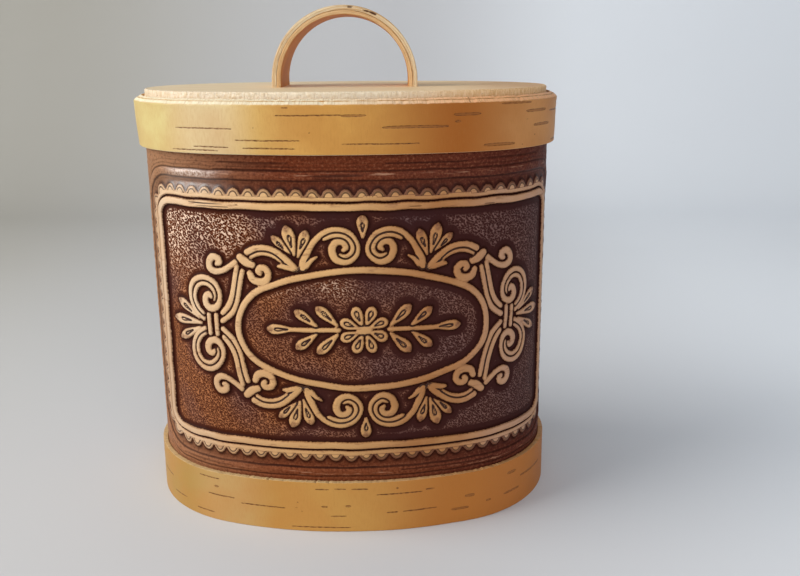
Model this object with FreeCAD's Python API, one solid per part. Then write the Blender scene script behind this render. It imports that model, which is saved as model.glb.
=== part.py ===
import FreeCAD, Part
import math
import os

# Oval birch bark box with an embossed wrap and a lift-off lid.
# Frame: millimetres, +Z up, +X to the right, the front faces -Y.
# The origin is on the surface that the box stands on, under its middle.

V = FreeCAD.Vector

# ---- driving dimensions, mm ----------------------------------------------

# Plan of the box: a four-centre oval, measured on the outer face of the wrap.
HALF_WIDTH = 70.0
HALF_DEPTH = 49.0
END_RADIUS = 44.5

BODY_HEIGHT = 136.0
WRAP_THICKNESS = 1.8
WRAP_LOWER_EDGE = 0.5
WALL_THICKNESS = 2.2
WALL_LAP = (9.0, 0.8)          # half width and thickness of the lap inside the wall
SEAM_WIDTH = 0.7
SEAM_DEPTH = 0.9

BOTTOM_RECESS = 1.5
BOTTOM_THICKNESS = 8.0

FOOT_BAND_HEIGHT = 18.0
FOOT_BAND_THICKNESS = 2.0
FOOT_LAP = (8.0, 0.8)          # half width and thickness of the band's lap at the back

# Lid: two boards with a two-layer bark band round them, whose outer face flares a little.
LID_CLEARANCE = 0.3
LID_LINER_THICKNESS = 1.1
LID_BAND_THICKNESS = (0.9, 1.7)  # at the band's lower and upper edge
LID_BAND_LOWER_EDGE = 125.7
LID_BAND_UPPER_EDGE = 141.3
LID_BAND_BEVEL = 0.5
LID_SEAM_SHIFT = 12.0          # the strips butt beside the middle of the back
UNDER_BOARD_THICKNESS = 5.9
TOP_BOARD_THICKNESS = 2.4
TOP_BOARD_INSET = 0.8
RIM_BEVEL = 0.9

# Handle: two bark strips glued face to face, bent to an arch.
HANDLE_HALF_SPAN = 24.4
HANDLE_RISE = 26.4
HANDLE_WIDTH = 26.6
OUTER_STRIP_THICKNESS = 1.6
INNER_STRIP_THICKNESS = 1.4
HANDLE_TAIL = 8.0              # length of the strips below the lid boards
PEG_SIDE = 4.0
PEG_OVERHANG = 7.0

# Embossing, in panel coordinates: p to the right and q up from the middle of the panel.
PANEL_SHIFT = 6.5              # the panel sits a little to the right of the front centre
PANEL_HEIGHT = 70.0
PANEL_HALF_GIRTH = 88.0
PANEL_STRIP = 8.4              # width of the flat strips; they leave the oval by under 0.2 mm
RELIEF_DEPTH = 0.7
RAIL_HALF = (74.6, 39.7)       # centre line of the smooth rail
RAIL_CORNER = 5.0
RAIL_WIDTH = 2.6
SCALLOP_HALF = (78.1, 42.5)    # centre line of the strip that the scallops stand on
SCALLOP_CORNER = 8.0
SCALLOP_STRIP = 1.4
SCALLOP_PITCH = 5.1
SCALLOP_RADIUS = 2.0
SCALLOP_HEIGHT = 2.3
SCALLOP_SINK = 0.2             # how far its foot reaches into the strip
RECESS_HALF = (84.3, 47.7)
RECESS_CORNER = 13.0
CARTOUCHE = (41.4, 19.6, 14.2) # half width, half height and end radius of the oval ring
CARTOUCHE_WIDTH = 1.8
STAMP_REACH = 4.0

# Strokes of the upper left quarter: (p, q, width) at each knot, mirrored to the other three.
QUARTER_STROKES = [
    # large upper volute with its stem
    [(-19.2, 20.1, 1.8), (-17.3, 25.7, 2.0), (-14.6, 29.6, 2.4), (-9.8, 31.6, 2.9),
     (-4.8, 30.8, 2.9), (-2.5, 27.6, 2.7), (-3.4, 24.3, 2.6), (-6.4, 22.8, 2.5),
     (-9.3, 25.6, 2.4), (-7.4, 28.6, 1.9), (-5.6, 27.2, 1.4)],
    # arch from the palmette to the band tie, and the tie
    [(-36.6, 24.5, 2.6), (-31.0, 25.8, 2.5), (-25.4, 23.2, 2.4), (-20.6, 19.6, 1.1)],
    [(-39.6, 23.1, 2.3), (-35.7, 20.5, 2.3)],
    # small volutes inside and outside the tie
    [(-36.5, 17.9, 1.8), (-34.6, 15.6, 2.1), (-31.6, 16.1, 2.1), (-30.5, 18.9, 1.9),
     (-33.0, 19.8, 1.7)],
    [(-41.4, 21.5, 1.5), (-45.0, 18.8, 1.6), (-48.9, 17.8, 1.9), (-51.0, 20.1, 2.1),
     (-49.5, 22.7, 2.0), (-47.2, 21.2, 1.5)],
    # double stem down to the side tie
    [(-41.0, 19.9, 1.2), (-43.0, 10.6, 1.6), (-46.9, 4.2, 1.5)],
    [(-39.1, 18.5, 1.3), (-41.7, 7.9, 1.5), (-47.1, 1.4, 1.5)],
    # large side volute
    [(-54.2, 2.4, 2.3), (-58.0, 5.5, 2.5), (-58.9, 9.7, 2.6), (-56.7, 13.7, 2.6),
     (-52.6, 14.8, 2.6), (-49.0, 12.5, 2.4), (-48.2, 8.7, 2.1), (-50.1, 5.9, 2.0),
     (-53.1, 7.5, 2.0), (-51.8, 10.0, 1.5)],
]

# Leaves: (p, q) of the foot, (p, q) of the tip, and the greatest width.
QUARTER_LEAVES = [
    ((-21.4, 24.6), (-24.3, 33.7), 3.6),
    ((-20.2, 24.0), (-17.8, 32.5), 3.1),
    ((-22.7, 25.1), (-28.9, 30.4), 2.4),
    ((-56.2, 1.7), (-65.6, 6.5), 2.9),
    ((8.6, 1.6), (14.6, 7.3), 3.4),
    ((15.4, 1.2), (21.6, 6.1), 3.0),
]
MIRRORED_LEAVES = [
    ((-55.4, 0.0), (-68.4, 0.0), 3.2),
    ((22.4, 0.0), (31.0, 0.0), 3.2),
]
UPRIGHT_LEAVES = [((0.0, 30.4), (0.0, 36.7), 3.3)]
LEAF_PROFILE = [(0.0, 0.25), (0.65, 1.0), (1.0, 0.35)]
SIDE_BARS = (49.4, 52.1)
BAR_HALF_HEIGHT = 3.3
BAR_WIDTH = 1.3

# Rosette and sprig in the middle of the oval.
ROSETTE_PETALS = 8
ROSETTE_PETAL = (2.0, 7.4, 3.3)  # start radius, tip radius and width
ROSETTE_BOSS = 1.5
SPRIG_STEM = (8.0, 23.2, 1.2)    # start, end and width

# ---- plan oval --------------------------------------------------------------

FLAT_RADIUS = ((HALF_WIDTH ** 2 - 2 * HALF_WIDTH * END_RADIUS + HALF_DEPTH ** 2)
               / (2 * (HALF_DEPTH - END_RADIUS)))
JOIN_ANGLE = math.atan2(FLAT_RADIUS - HALF_DEPTH, HALF_WIDTH - END_RADIUS)
FLAT_HALF_ARC = FLAT_RADIUS * (math.pi / 2 - JOIN_ANGLE)
END_ARC = 2 * END_RADIUS * JOIN_ANGLE
HALF_GIRTH = 2 * FLAT_HALF_ARC + END_ARC
ARC_ENDS = [-FLAT_HALF_ARC - END_ARC, -FLAT_HALF_ARC, FLAT_HALF_ARC, FLAT_HALF_ARC + END_ARC]


def wall_frame(s, offset=0.0):
    """Point and outward normal at the girth position s, from the front centre towards +X."""
    run = abs(s)
    if run <= FLAT_HALF_ARC:
        centre = V(0, FLAT_RADIUS - HALF_DEPTH, 0)
        radius = FLAT_RADIUS
        turn = -math.pi / 2 + run / FLAT_RADIUS
    elif run <= FLAT_HALF_ARC + END_ARC:
        centre = V(HALF_WIDTH - END_RADIUS, 0, 0)
        radius = END_RADIUS
        turn = -JOIN_ANGLE + (run - FLAT_HALF_ARC) / END_RADIUS
    else:
        centre = V(0, HALF_DEPTH - FLAT_RADIUS, 0)
        radius = FLAT_RADIUS
        turn = JOIN_ANGLE + (run - FLAT_HALF_ARC - END_ARC) / FLAT_RADIUS
    normal = V(math.cos(turn), math.sin(turn), 0)
    point = centre + normal * (radius + offset)
    if s < 0:
        point.x = -point.x
        normal.x = -normal.x
    return point, normal


def wall_path(start, end, offset):
    """Arcs along the wall at an offset from its outer face."""
    stops = [start] + [s for s in ARC_ENDS if start < s < end] + [end]
    arcs = []
    for s0, s1 in zip(stops, stops[1:]):
        points = [wall_frame(s, offset)[0] for s in (s0, (s0 + s1) / 2, s1)]
        arcs.append(Part.Arc(*points).toShape())
    return arcs


def panel_path(offset):
    """Narrow flat strips across the embossed panel, whose corners lie on the oval."""
    start = PANEL_SHIFT - PANEL_HALF_GIRTH
    count = round(2 * PANEL_HALF_GIRTH / PANEL_STRIP)
    stops = [start + 2 * PANEL_HALF_GIRTH * k / count for k in range(count + 1)]
    points = [wall_frame(s, offset)[0] for s in stops]
    return [Part.makeLine(a, b) for a, b in zip(points, points[1:])]


def wrap_outline():
    """Outer wire of the wrap: strips over the panel, arcs round the rest."""
    start = PANEL_SHIFT - PANEL_HALF_GIRTH
    end = PANEL_SHIFT + PANEL_HALF_GIRTH
    return Part.Wire(wall_path(-HALF_GIRTH, start, 0) + panel_path(0)
                     + wall_path(end, HALF_GIRTH, 0))


def oval_prism(offset, low, high):
    """Solid oval block between two heights."""
    wire = Part.Wire(wall_path(-HALF_GIRTH, HALF_GIRTH, offset))
    prism = Part.Face(wire).extrude(V(0, 0, high - low))
    prism.translate(V(0, 0, low))
    return prism


def oval_ring(inner, outer, low, high):
    """Oval tube between two offsets from the wrap's outer face."""
    return oval_prism(outer, low, high).cut(oval_prism(inner, low, high))


def wall_patch(start, end, inner, outer, low, high):
    """Part of an oval tube between two girth positions."""
    outer_path = wall_path(start, end, outer)
    inner_path = wall_path(start, end, inner)
    closing = []
    for s in (start, end):
        closing.append(Part.makeLine(wall_frame(s, inner)[0], wall_frame(s, outer)[0]))
    edges = Part.__sortEdges__(outer_path + inner_path + closing)
    patch = Part.Face(Part.Wire(edges)).extrude(V(0, 0, high - low))
    patch.translate(V(0, 0, low))
    return patch


def panel_slab(inner, outer, half_height):
    """Layer over the panel between two offsets, with the same strips as the wrap."""
    inner_path = panel_path(inner)
    outer_path = panel_path(outer)
    closing = [Part.makeLine(inner_path[i].Vertexes[i].Point, outer_path[i].Vertexes[i].Point)
               for i in (0, -1)]
    edges = Part.__sortEdges__(inner_path + outer_path + closing)
    slab = Part.Face(Part.Wire(edges)).extrude(V(0, 0, 2 * half_height))
    slab.translate(V(0, 0, PANEL_HEIGHT - half_height))
    return slab


def back_block(half_width, low, high):
    """Block over the middle of the back, to trim a ring to a lap or a seam."""
    block = Part.makeBox(2 * half_width, 2 * HALF_DEPTH, high - low)
    block.translate(V(-half_width, 0, low))
    return block


# ---- outlines on the developed wall ------------------------------------------

def stroke_outline(knots):
    """Closed outline of a stroke with a width at each knot."""
    left, right = [], []
    for i, (p, q, width) in enumerate(knots):
        before = knots[max(i - 1, 0)]
        after = knots[min(i + 1, len(knots) - 1)]
        along = (after[0] - before[0], after[1] - before[1])
        length = math.hypot(*along)
        side = (-along[1] / length * width / 2, along[0] / length * width / 2)
        left.append((p + side[0], q + side[1]))
        right.append((p - side[0], q - side[1]))
    return left + right[::-1]


def leaf_outline(foot, tip, width):
    """Rounded leaf, broadest towards its tip."""
    knots = []
    for share, breadth in LEAF_PROFILE:
        p = foot[0] + (tip[0] - foot[0]) * share
        q = foot[1] + (tip[1] - foot[1]) * share
        knots.append((p, q, width * breadth))
    return stroke_outline(knots)


def mirrored(outlines, flip_p=True, flip_q=True):
    """The outlines with their mirror images left to right and top to bottom."""
    images = []
    for sign_p in (1, -1) if flip_p else (1,):
        for sign_q in (1, -1) if flip_q else (1,):
            for outline in outlines:
                images.append([(sign_p * p, sign_q * q) for p, q in outline])
    return images


def corner_arc(half, radius, steps=3):
    """Points of the upper right corner of a rounded rectangle, from the right edge to the top."""
    points = []
    for k in range(steps + 1):
        angle = math.pi / 2 * k / steps
        points.append((half[0] - radius + radius * math.cos(angle),
                       half[1] - radius + radius * math.sin(angle)))
    return points


def stamp(outline):
    """Prism across the wall over a closed outline in panel coordinates."""
    girth = [p + PANEL_SHIFT for p, q in outline]
    origin, normal = wall_frame((min(girth) + max(girth)) / 2)
    tangent = V(-normal.y, normal.x, 0)
    points = []
    for s, (p, q) in zip(girth, outline):
        along = (wall_frame(s)[0] - origin).dot(tangent)
        points.append(origin + tangent * along + normal * STAMP_REACH
                      + V(0, 0, PANEL_HEIGHT + q))
    face = Part.Face(Part.makePolygon(points + [points[0]]))
    return face.extrude(normal * (-2 * STAMP_REACH))


def frame_stamps(half, radius, width):
    """Rounded rectangular strip: exact patches along the girth, stamps for sides and corners."""
    pieces = []
    straight = half[0] - radius
    for centre in (PANEL_HEIGHT + half[1], PANEL_HEIGHT - half[1]):
        pieces.append(wall_patch(PANEL_SHIFT - straight, PANEL_SHIFT + straight,
                                 -STAMP_REACH, STAMP_REACH,
                                 centre - width / 2, centre + width / 2))
    height = half[1] - radius
    side = [(half[0] - width / 2, -height), (half[0] + width / 2, -height),
            (half[0] + width / 2, height), (half[0] - width / 2, height)]
    corner = [(p, q, width) for p, q in corner_arc(half, radius)]
    pieces += [stamp(o) for o in mirrored([side], flip_q=False)]
    pieces += [stamp(o) for o in mirrored([stroke_outline(corner)])]
    return pieces


def scallop(centre, outward):
    """Half round that stands outwards on the strip."""
    across = (-outward[1], outward[0])
    points = []
    for k in range(4):
        angle = math.pi * k / 3
        reach = SCALLOP_STRIP / 2 - SCALLOP_SINK + SCALLOP_HEIGHT * math.sin(angle)
        shift = SCALLOP_RADIUS * math.cos(angle)
        points.append((centre[0] + outward[0] * reach + across[0] * shift,
                       centre[1] + outward[1] * reach + across[1] * shift))
    return points


def scallop_outlines():
    """Scallops from the middle of the top edge round to the middle of the side, mirrored."""
    straight_p = SCALLOP_HALF[0] - SCALLOP_CORNER
    straight_q = SCALLOP_HALF[1] - SCALLOP_CORNER
    bend = SCALLOP_CORNER * math.pi / 2
    quarter = straight_p + bend + straight_q
    count = round(quarter / SCALLOP_PITCH - 0.5)
    outlines = []
    for k in range(count + 1):
        travel = quarter * k / (count + 0.5)
        turn = min(max((travel - straight_p) / SCALLOP_CORNER, 0), math.pi / 2)
        outward = (math.sin(turn), math.cos(turn))
        down = max(travel - straight_p - bend, 0)
        centre = (min(travel, straight_p) + SCALLOP_CORNER * outward[0],
                  straight_q + SCALLOP_CORNER * outward[1] - down)
        outlines.append(scallop(centre, outward))
    return mirrored(outlines[1:]) + mirrored(outlines[:1], flip_p=False)


def cartouche_outlines():
    """The oval ring, cut into short strokes."""
    half_p, half_q, end = CARTOUCHE
    flat = (half_p ** 2 - 2 * half_p * end + half_q ** 2) / (2 * (half_q - end))
    join = math.atan2(flat - half_q, half_p - end)
    knots = []
    for k in range(4):
        angle = join * k / 3
        knots.append((half_p - end + end * math.cos(angle), end * math.sin(angle),
                      CARTOUCHE_WIDTH))
    for k in range(1, 4):
        angle = join + (math.pi / 2 - join) * k / 3
        knots.append((flat * math.cos(angle), half_q - flat + flat * math.sin(angle),
                      CARTOUCHE_WIDTH))
    return mirrored([stroke_outline(knots[:4]), stroke_outline(knots[3:])])


def ornament_outlines():
    """Volutes, palmettes, stems and ties round the oval, and the rosette inside it."""
    quarter = [stroke_outline(knots) for knots in QUARTER_STROKES]
    quarter += [leaf_outline(*leaf) for leaf in QUARTER_LEAVES]
    outlines = mirrored(quarter)
    outlines += mirrored([leaf_outline(*leaf) for leaf in MIRRORED_LEAVES], flip_q=False)
    outlines += mirrored([leaf_outline(*leaf) for leaf in UPRIGHT_LEAVES], flip_p=False)
    start, end, width = SPRIG_STEM
    bars = [[(start, 0, width), (end, 0, width)]]
    bars += [[(p, -BAR_HALF_HEIGHT, BAR_WIDTH), (p, BAR_HALF_HEIGHT, BAR_WIDTH)]
             for p in SIDE_BARS]
    outlines += mirrored([stroke_outline(bar) for bar in bars], flip_q=False)
    near, far, width = ROSETTE_PETAL
    for k in range(ROSETTE_PETALS):
        angle = 2 * math.pi * (k + 0.5) / ROSETTE_PETALS
        ray = (math.cos(angle), math.sin(angle))
        outlines.append(leaf_outline((near * ray[0], near * ray[1]),
                                     (far * ray[0], far * ray[1]), width))
    outlines.append([(ROSETTE_BOSS * math.cos(math.pi * k / 3),
                      ROSETTE_BOSS * math.sin(math.pi * k / 3)) for k in range(6)])
    return outlines


# ---- the pieces ---------------------------------------------------------------

def make_inner_wall():
    """Bark tube whose ends lap inside at the back."""
    outer = -WRAP_THICKNESS
    inner = outer - WALL_THICKNESS
    wall = oval_ring(inner, outer, 0, BODY_HEIGHT)
    half_width, thickness = WALL_LAP
    low = BOTTOM_RECESS + BOTTOM_THICKNESS
    lap = oval_ring(inner - thickness, inner, low, BODY_HEIGHT)
    return wall.fuse(lap.common(back_block(half_width, low, BODY_HEIGHT))).removeSplitter()


def make_embossed_wrap():
    """Bark sheet round the wall, embossed in front and butted at the back."""
    wrap = Part.Face(wrap_outline()).extrude(V(0, 0, BODY_HEIGHT - WRAP_LOWER_EDGE))
    wrap.translate(V(0, 0, WRAP_LOWER_EDGE))
    wrap = wrap.cut(oval_prism(-WRAP_THICKNESS, 0, BODY_HEIGHT))
    recess = panel_slab(-RELIEF_DEPTH, 1, RECESS_HALF[1])
    corner = corner_arc(RECESS_HALF, RECESS_CORNER)
    outside = (PANEL_HALF_GIRTH + 1, RECESS_HALF[1] + 1)
    kept = ([(RECESS_HALF[0], -1)] + corner
            + [(corner[-1][0], outside[1]), outside, (outside[0], -1)])
    raised = [stamp(o) for o in mirrored([kept])]
    raised += frame_stamps(RAIL_HALF, RAIL_CORNER, RAIL_WIDTH)
    raised += frame_stamps(SCALLOP_HALF, SCALLOP_CORNER, SCALLOP_STRIP)
    raised += [stamp(o) for o in scallop_outlines()]
    raised += [stamp(o) for o in cartouche_outlines()]
    raised += [stamp(o) for o in ornament_outlines()]
    seam = oval_ring(-SEAM_DEPTH, 1, 0, BODY_HEIGHT).common(
        back_block(SEAM_WIDTH / 2, 0, BODY_HEIGHT))
    return wrap.cut(recess.cut(raised)).cut(seam)


def make_bottom_board():
    """Wooden board set a little up inside the wall."""
    return oval_prism(-WRAP_THICKNESS - WALL_THICKNESS, BOTTOM_RECESS,
                      BOTTOM_RECESS + BOTTOM_THICKNESS)


def make_foot_band():
    """Bark band round the foot, with its ends lapped at the back."""
    band = oval_ring(0, FOOT_BAND_THICKNESS, 0, FOOT_BAND_HEIGHT)
    half_width, thickness = FOOT_LAP
    lap = oval_ring(FOOT_BAND_THICKNESS, FOOT_BAND_THICKNESS + thickness, 0, FOOT_BAND_HEIGHT)
    return band.fuse(lap.common(back_block(half_width, 0, FOOT_BAND_HEIGHT))).removeSplitter()


def swept_ring(section):
    """Oval ring from a closed section of offsets and heights, swept round the plan's arcs."""
    axis = V(0, 0, 1)
    arcs = [(V(0, FLAT_RADIUS - HALF_DEPTH, 0), FLAT_RADIUS, -math.pi / 2, math.pi / 2 - JOIN_ANGLE),
            (V(HALF_WIDTH - END_RADIUS, 0, 0), END_RADIUS, 0, JOIN_ANGLE)]
    sweeps = []
    for centre, radius, middle, half_turn in arcs:
        corners = [V(radius + offset, 0, height) for offset, height in section]
        face = Part.Face(Part.makePolygon(corners + corners[:1]))
        sweep = face.revolve(V(0, 0, 0), axis, math.degrees(2 * half_turn))
        sweep.rotate(V(0, 0, 0), axis, math.degrees(middle - half_turn))
        sweep.translate(centre)
        opposite = sweep.copy()
        opposite.rotate(V(0, 0, 0), axis, 180)
        sweeps += [sweep, opposite]
    return sweeps[0].fuse(sweeps[1:]).removeSplitter()


def handle_slots(low, high):
    """The two openings that the handle's legs pass through."""
    depth = OUTER_STRIP_THICKNESS + INNER_STRIP_THICKNESS
    slots = []
    for x in (-HANDLE_HALF_SPAN, HANDLE_HALF_SPAN - depth):
        slot = Part.makeBox(depth, HANDLE_WIDTH, high - low)
        slot.translate(V(x, -HANDLE_WIDTH / 2, low))
        slots.append(slot)
    return slots


BOARD_JOINT = BODY_HEIGHT + UNDER_BOARD_THICKNESS
LID_TOP = BOARD_JOINT + TOP_BOARD_THICKNESS
PEG_LOWER_FACE = BODY_HEIGHT - PEG_SIDE


def make_under_board():
    """Board with a bevelled rim that rests on the mouth of the box inside the lid's band."""
    board = oval_prism(LID_CLEARANCE, BODY_HEIGHT, BOARD_JOINT)
    rim = [e for e in board.Edges if e.BoundBox.ZMin > BODY_HEIGHT + RIM_BEVEL]
    return board.makeChamfer(RIM_BEVEL, rim).cut(handle_slots(BODY_HEIGHT, BOARD_JOINT))


def make_top_board():
    """Thinner board on top, set in from the band."""
    board = oval_prism(-TOP_BOARD_INSET, BOARD_JOINT, LID_TOP)
    return board.cut(handle_slots(BOARD_JOINT, LID_TOP))


def lid_seam(shift):
    """Gap where a strip of the lid's band butts, beside the middle of the back."""
    seam = back_block(SEAM_WIDTH / 2, LID_BAND_LOWER_EDGE, LID_BAND_UPPER_EDGE)
    seam.translate(V(shift, 0, 0))
    return seam


LINER_OUTER = LID_CLEARANCE + LID_LINER_THICKNESS


def make_lid_liner():
    """Inner strip, straight and square on top."""
    strip = oval_ring(LID_CLEARANCE, LINER_OUTER, LID_BAND_LOWER_EDGE, LID_BAND_UPPER_EDGE)
    return strip.cut(lid_seam(-LID_SEAM_SHIFT))


def make_lid_band():
    """Outer strip, thicker towards its bevelled top edge."""
    low, high = LID_BAND_LOWER_EDGE, LID_BAND_UPPER_EDGE
    foot, top = (LINER_OUTER + thickness for thickness in LID_BAND_THICKNESS)
    strip = swept_ring([(LINER_OUTER, low), (foot, low), (top, high - LID_BAND_BEVEL),
                        (top - LID_BAND_BEVEL, high), (LINER_OUTER, high)])
    return strip.cut(lid_seam(LID_SEAM_SHIFT))


def arch(outer_half, thickness):
    """Strip bent to a half round with straight legs that run down below the boards."""
    crown = LID_TOP + HANDLE_RISE - HANDLE_HALF_SPAN
    low = BODY_HEIGHT - HANDLE_TAIL
    edges = []
    for half in (outer_half, outer_half - thickness):
        edges.append(Part.makeLine(V(-half, 0, low), V(-half, 0, crown)))
        edges.append(Part.Arc(V(-half, 0, crown), V(0, 0, crown + half),
                              V(half, 0, crown)).toShape())
        edges.append(Part.makeLine(V(half, 0, crown), V(half, 0, low)))
    for side in (-1, 1):
        edges.append(Part.makeLine(V(side * outer_half, 0, low),
                                   V(side * (outer_half - thickness), 0, low)))
    profile = Part.Face(Part.Wire(Part.__sortEdges__(edges)))
    profile.translate(V(0, -HANDLE_WIDTH / 2, 0))
    strip = profile.extrude(V(0, HANDLE_WIDTH, 0))
    return strip.cut(make_lock_peg())


def make_lock_peg():
    """Square peg through both legs, tight under the boards."""
    length = 2 * (HANDLE_HALF_SPAN + PEG_OVERHANG)
    return Part.makeBox(length, PEG_SIDE, PEG_SIDE, V(-length / 2, -PEG_SIDE / 2, PEG_LOWER_FACE))


def make_outer_strip():
    return arch(HANDLE_HALF_SPAN, OUTER_STRIP_THICKNESS)


def make_inner_strip():
    return arch(HANDLE_HALF_SPAN - OUTER_STRIP_THICKNESS, INNER_STRIP_THICKNESS)


PIECES = {
    "inner_wall": make_inner_wall,
    "embossed_wrap": make_embossed_wrap,
    "bottom_board": make_bottom_board,
    "foot_band": make_foot_band,
    "lid_under_board": make_under_board,
    "lid_top_board": make_top_board,
    "lid_band_liner": make_lid_liner,
    "lid_band": make_lid_band,
    "handle_outer_strip": make_outer_strip,
    "handle_inner_strip": make_inner_strip,
    "handle_lock_peg": make_lock_peg,
}

os.makedirs("parts", exist_ok=True)
for name, make in PIECES.items():
    shape = make()
    shape.exportStep("parts/" + name + ".step")
    print(name, "solids", len(shape.Solids), "valid", shape.isValid(),
          "volume", round(shape.Volume, 1))
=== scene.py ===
import math

import bpy
import numpy as np
from mathutils import Euler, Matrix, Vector


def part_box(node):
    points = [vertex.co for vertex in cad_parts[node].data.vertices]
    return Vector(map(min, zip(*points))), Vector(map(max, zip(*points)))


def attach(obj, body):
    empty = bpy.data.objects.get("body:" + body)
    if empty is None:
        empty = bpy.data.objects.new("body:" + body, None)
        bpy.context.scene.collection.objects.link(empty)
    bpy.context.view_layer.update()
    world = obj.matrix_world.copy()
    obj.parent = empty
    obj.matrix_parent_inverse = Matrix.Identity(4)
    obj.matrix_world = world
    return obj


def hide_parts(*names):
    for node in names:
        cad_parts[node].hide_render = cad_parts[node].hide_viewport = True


# Looks of the oval birch bark box. Lengths are in millimetres on the developed wall:
# s runs along the girth from the front centre towards +X, z up, and offset outward
# from the wrap's outer face. Meshes are made in metres.

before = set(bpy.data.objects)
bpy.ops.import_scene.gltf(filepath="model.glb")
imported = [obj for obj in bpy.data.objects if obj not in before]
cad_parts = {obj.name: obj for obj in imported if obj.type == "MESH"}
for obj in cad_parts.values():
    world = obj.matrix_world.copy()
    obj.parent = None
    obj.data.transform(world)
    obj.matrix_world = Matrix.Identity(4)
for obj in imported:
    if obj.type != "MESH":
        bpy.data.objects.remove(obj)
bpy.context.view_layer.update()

MM = 0.001


def node_span(node):
    """Lowest and highest height of a CAD node."""
    low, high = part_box(node)
    return low.z / MM, high.z / MM


# ---- measures ----

HALF_WIDTH = 70.0
HALF_DEPTH = 49.0
END_RADIUS = 44.5

WRAP_LOW, WRAP_HIGH = node_span("embossed_wrap")
FOOT_LOW, FOOT_HIGH = node_span("foot_band")
BAND_LOW, BAND_HIGH = node_span("lid_band")
BOARD_LOW, BOARD_JOINT = node_span("lid_under_board")
LID_TOP = node_span("lid_top_board")[1]
HANDLE_LOW, HANDLE_HIGH = node_span("handle_outer_strip")

WRAP_THICKNESS = 1.8
FOOT_THICKNESS = 2.0
FOOT_LAP_RISE = 0.8
FOOT_LAP_HALF = 8.0
FOOT_LAP_RAMP = 16.0  # girth over which the lapping end rises
LINER_INNER = 0.3
LINER_OUTER = 1.4
BAND_OUTER = 2.3  # at the band's lower edge
BAND_FLARE = 0.8  # how much further out it is at the upper edge
TOP_INSET = -0.8
RIM_SLANT = (-0.55, 0.6, 1.15)  # rise of the lid strips' edge: outside, between, inside
RIM_HEIGHT = (2.2, 0.4)  # the rise starts and ends this far below the edge
SEAM_DEPTH = 0.9
SEAM_EDGE = (0.3, 0.38)  # a seam's floor and top, from its middle
LID_SEAM_SHIFT = 12.0
HANDLE_HALF = 24.4
HANDLE_WIDTH = 26.6
OUTER_STRIP = 1.6
INNER_STRIP = 1.4


# ---- plan oval ----

FLAT_RADIUS = ((HALF_WIDTH ** 2 - 2 * HALF_WIDTH * END_RADIUS + HALF_DEPTH ** 2)
               / (2 * (HALF_DEPTH - END_RADIUS)))
JOIN_ANGLE = math.atan2(FLAT_RADIUS - HALF_DEPTH, HALF_WIDTH - END_RADIUS)
FLAT_ARC = FLAT_RADIUS * (math.pi / 2 - JOIN_ANGLE)
END_ARC = 2 * END_RADIUS * JOIN_ANGLE
HALF_GIRTH = 2 * FLAT_ARC + END_ARC
GIRTH = 2 * HALF_GIRTH


def wrapped(s):
    """Girth positions within half a girth of the front centre."""
    return (s + HALF_GIRTH) % GIRTH - HALF_GIRTH


def oval(s, offset):
    """Points of the wall's plan at girth positions and offsets."""
    s = wrapped(s)
    run = np.abs(s)
    front = run <= FLAT_ARC
    side = ~front & (run <= FLAT_ARC + END_ARC)
    turn = np.where(front, run / FLAT_RADIUS - math.pi / 2,
                    np.where(side, (run - FLAT_ARC) / END_RADIUS - JOIN_ANGLE,
                             (run - FLAT_ARC - END_ARC) / FLAT_RADIUS + JOIN_ANGLE))
    reach = np.where(side, END_RADIUS, FLAT_RADIUS) + offset
    x = np.where(side, HALF_WIDTH - END_RADIUS, 0) + np.cos(turn) * reach
    y = np.sin(turn) * reach + np.where(
        front, FLAT_RADIUS - HALF_DEPTH, np.where(side, 0, HALF_DEPTH - FLAT_RADIUS))
    return np.where(s < 0, -x, x), y


# ---- random fields over the developed wall ----

FIELD_STEP = 0.25
FIELD_HEIGHT = 180.0
FIELD_SHAPE = (round(GIRTH / FIELD_STEP), round(FIELD_HEIGHT / FIELD_STEP))


def bark_field(seed, pitch, stretch=1.0, spread=0.35):
    """Random field of unit deviation with a grain of this pitch, longer along the girth."""
    rng = np.random.default_rng(seed)
    along = np.fft.fftfreq(FIELD_SHAPE[0], FIELD_STEP)[:, None] * stretch
    up = np.fft.fftfreq(FIELD_SHAPE[1], FIELD_STEP)[None, :]
    band = np.exp(-((np.hypot(along, up) * pitch - 1) / spread) ** 2)
    band[0, 0] = 0
    field = np.fft.ifft2(np.fft.fft2(rng.standard_normal(FIELD_SHAPE)) * band).real
    return field / field.std()


def sample(field, s, z):
    """Values of a field between its grid points."""
    u = (s + HALF_GIRTH) / FIELD_STEP
    v = z / FIELD_STEP
    i, j = np.floor(u).astype(int), np.floor(v).astype(int)
    a, b = u - i, v - j
    rows, columns = FIELD_SHAPE
    i0, i1, j0, j1 = i % rows, (i + 1) % rows, j % columns, (j + 1) % columns
    low = field[i0, j0] * (1 - a) + field[i1, j0] * a
    high = field[i0, j1] * (1 - a) + field[i1, j1] * a
    return low * (1 - b) + high * b


def step_up(value, low, high):
    """Smooth step from 0 at low to 1 at high."""
    t = np.clip((value - low) / (high - low), 0, 1)
    return t * t * (3 - 2 * t)


WOBBLE = [bark_field(11, 14.0), bark_field(12, 14.0)]
WOBBLE_SIZE = 0.09
BAND_WAVE = bark_field(41, 22.0, 1.5)
EDGE_ROUGH = bark_field(42, 1.4)


# ---- meshes ----

SHARP_ANGLE = math.radians(48)
RING = (True, True)  # closed round the wall and round its section
CORNER_STEPS = 4
INNER_STEP = 3.0  # spacing of a section's points on the hidden inner face


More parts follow.
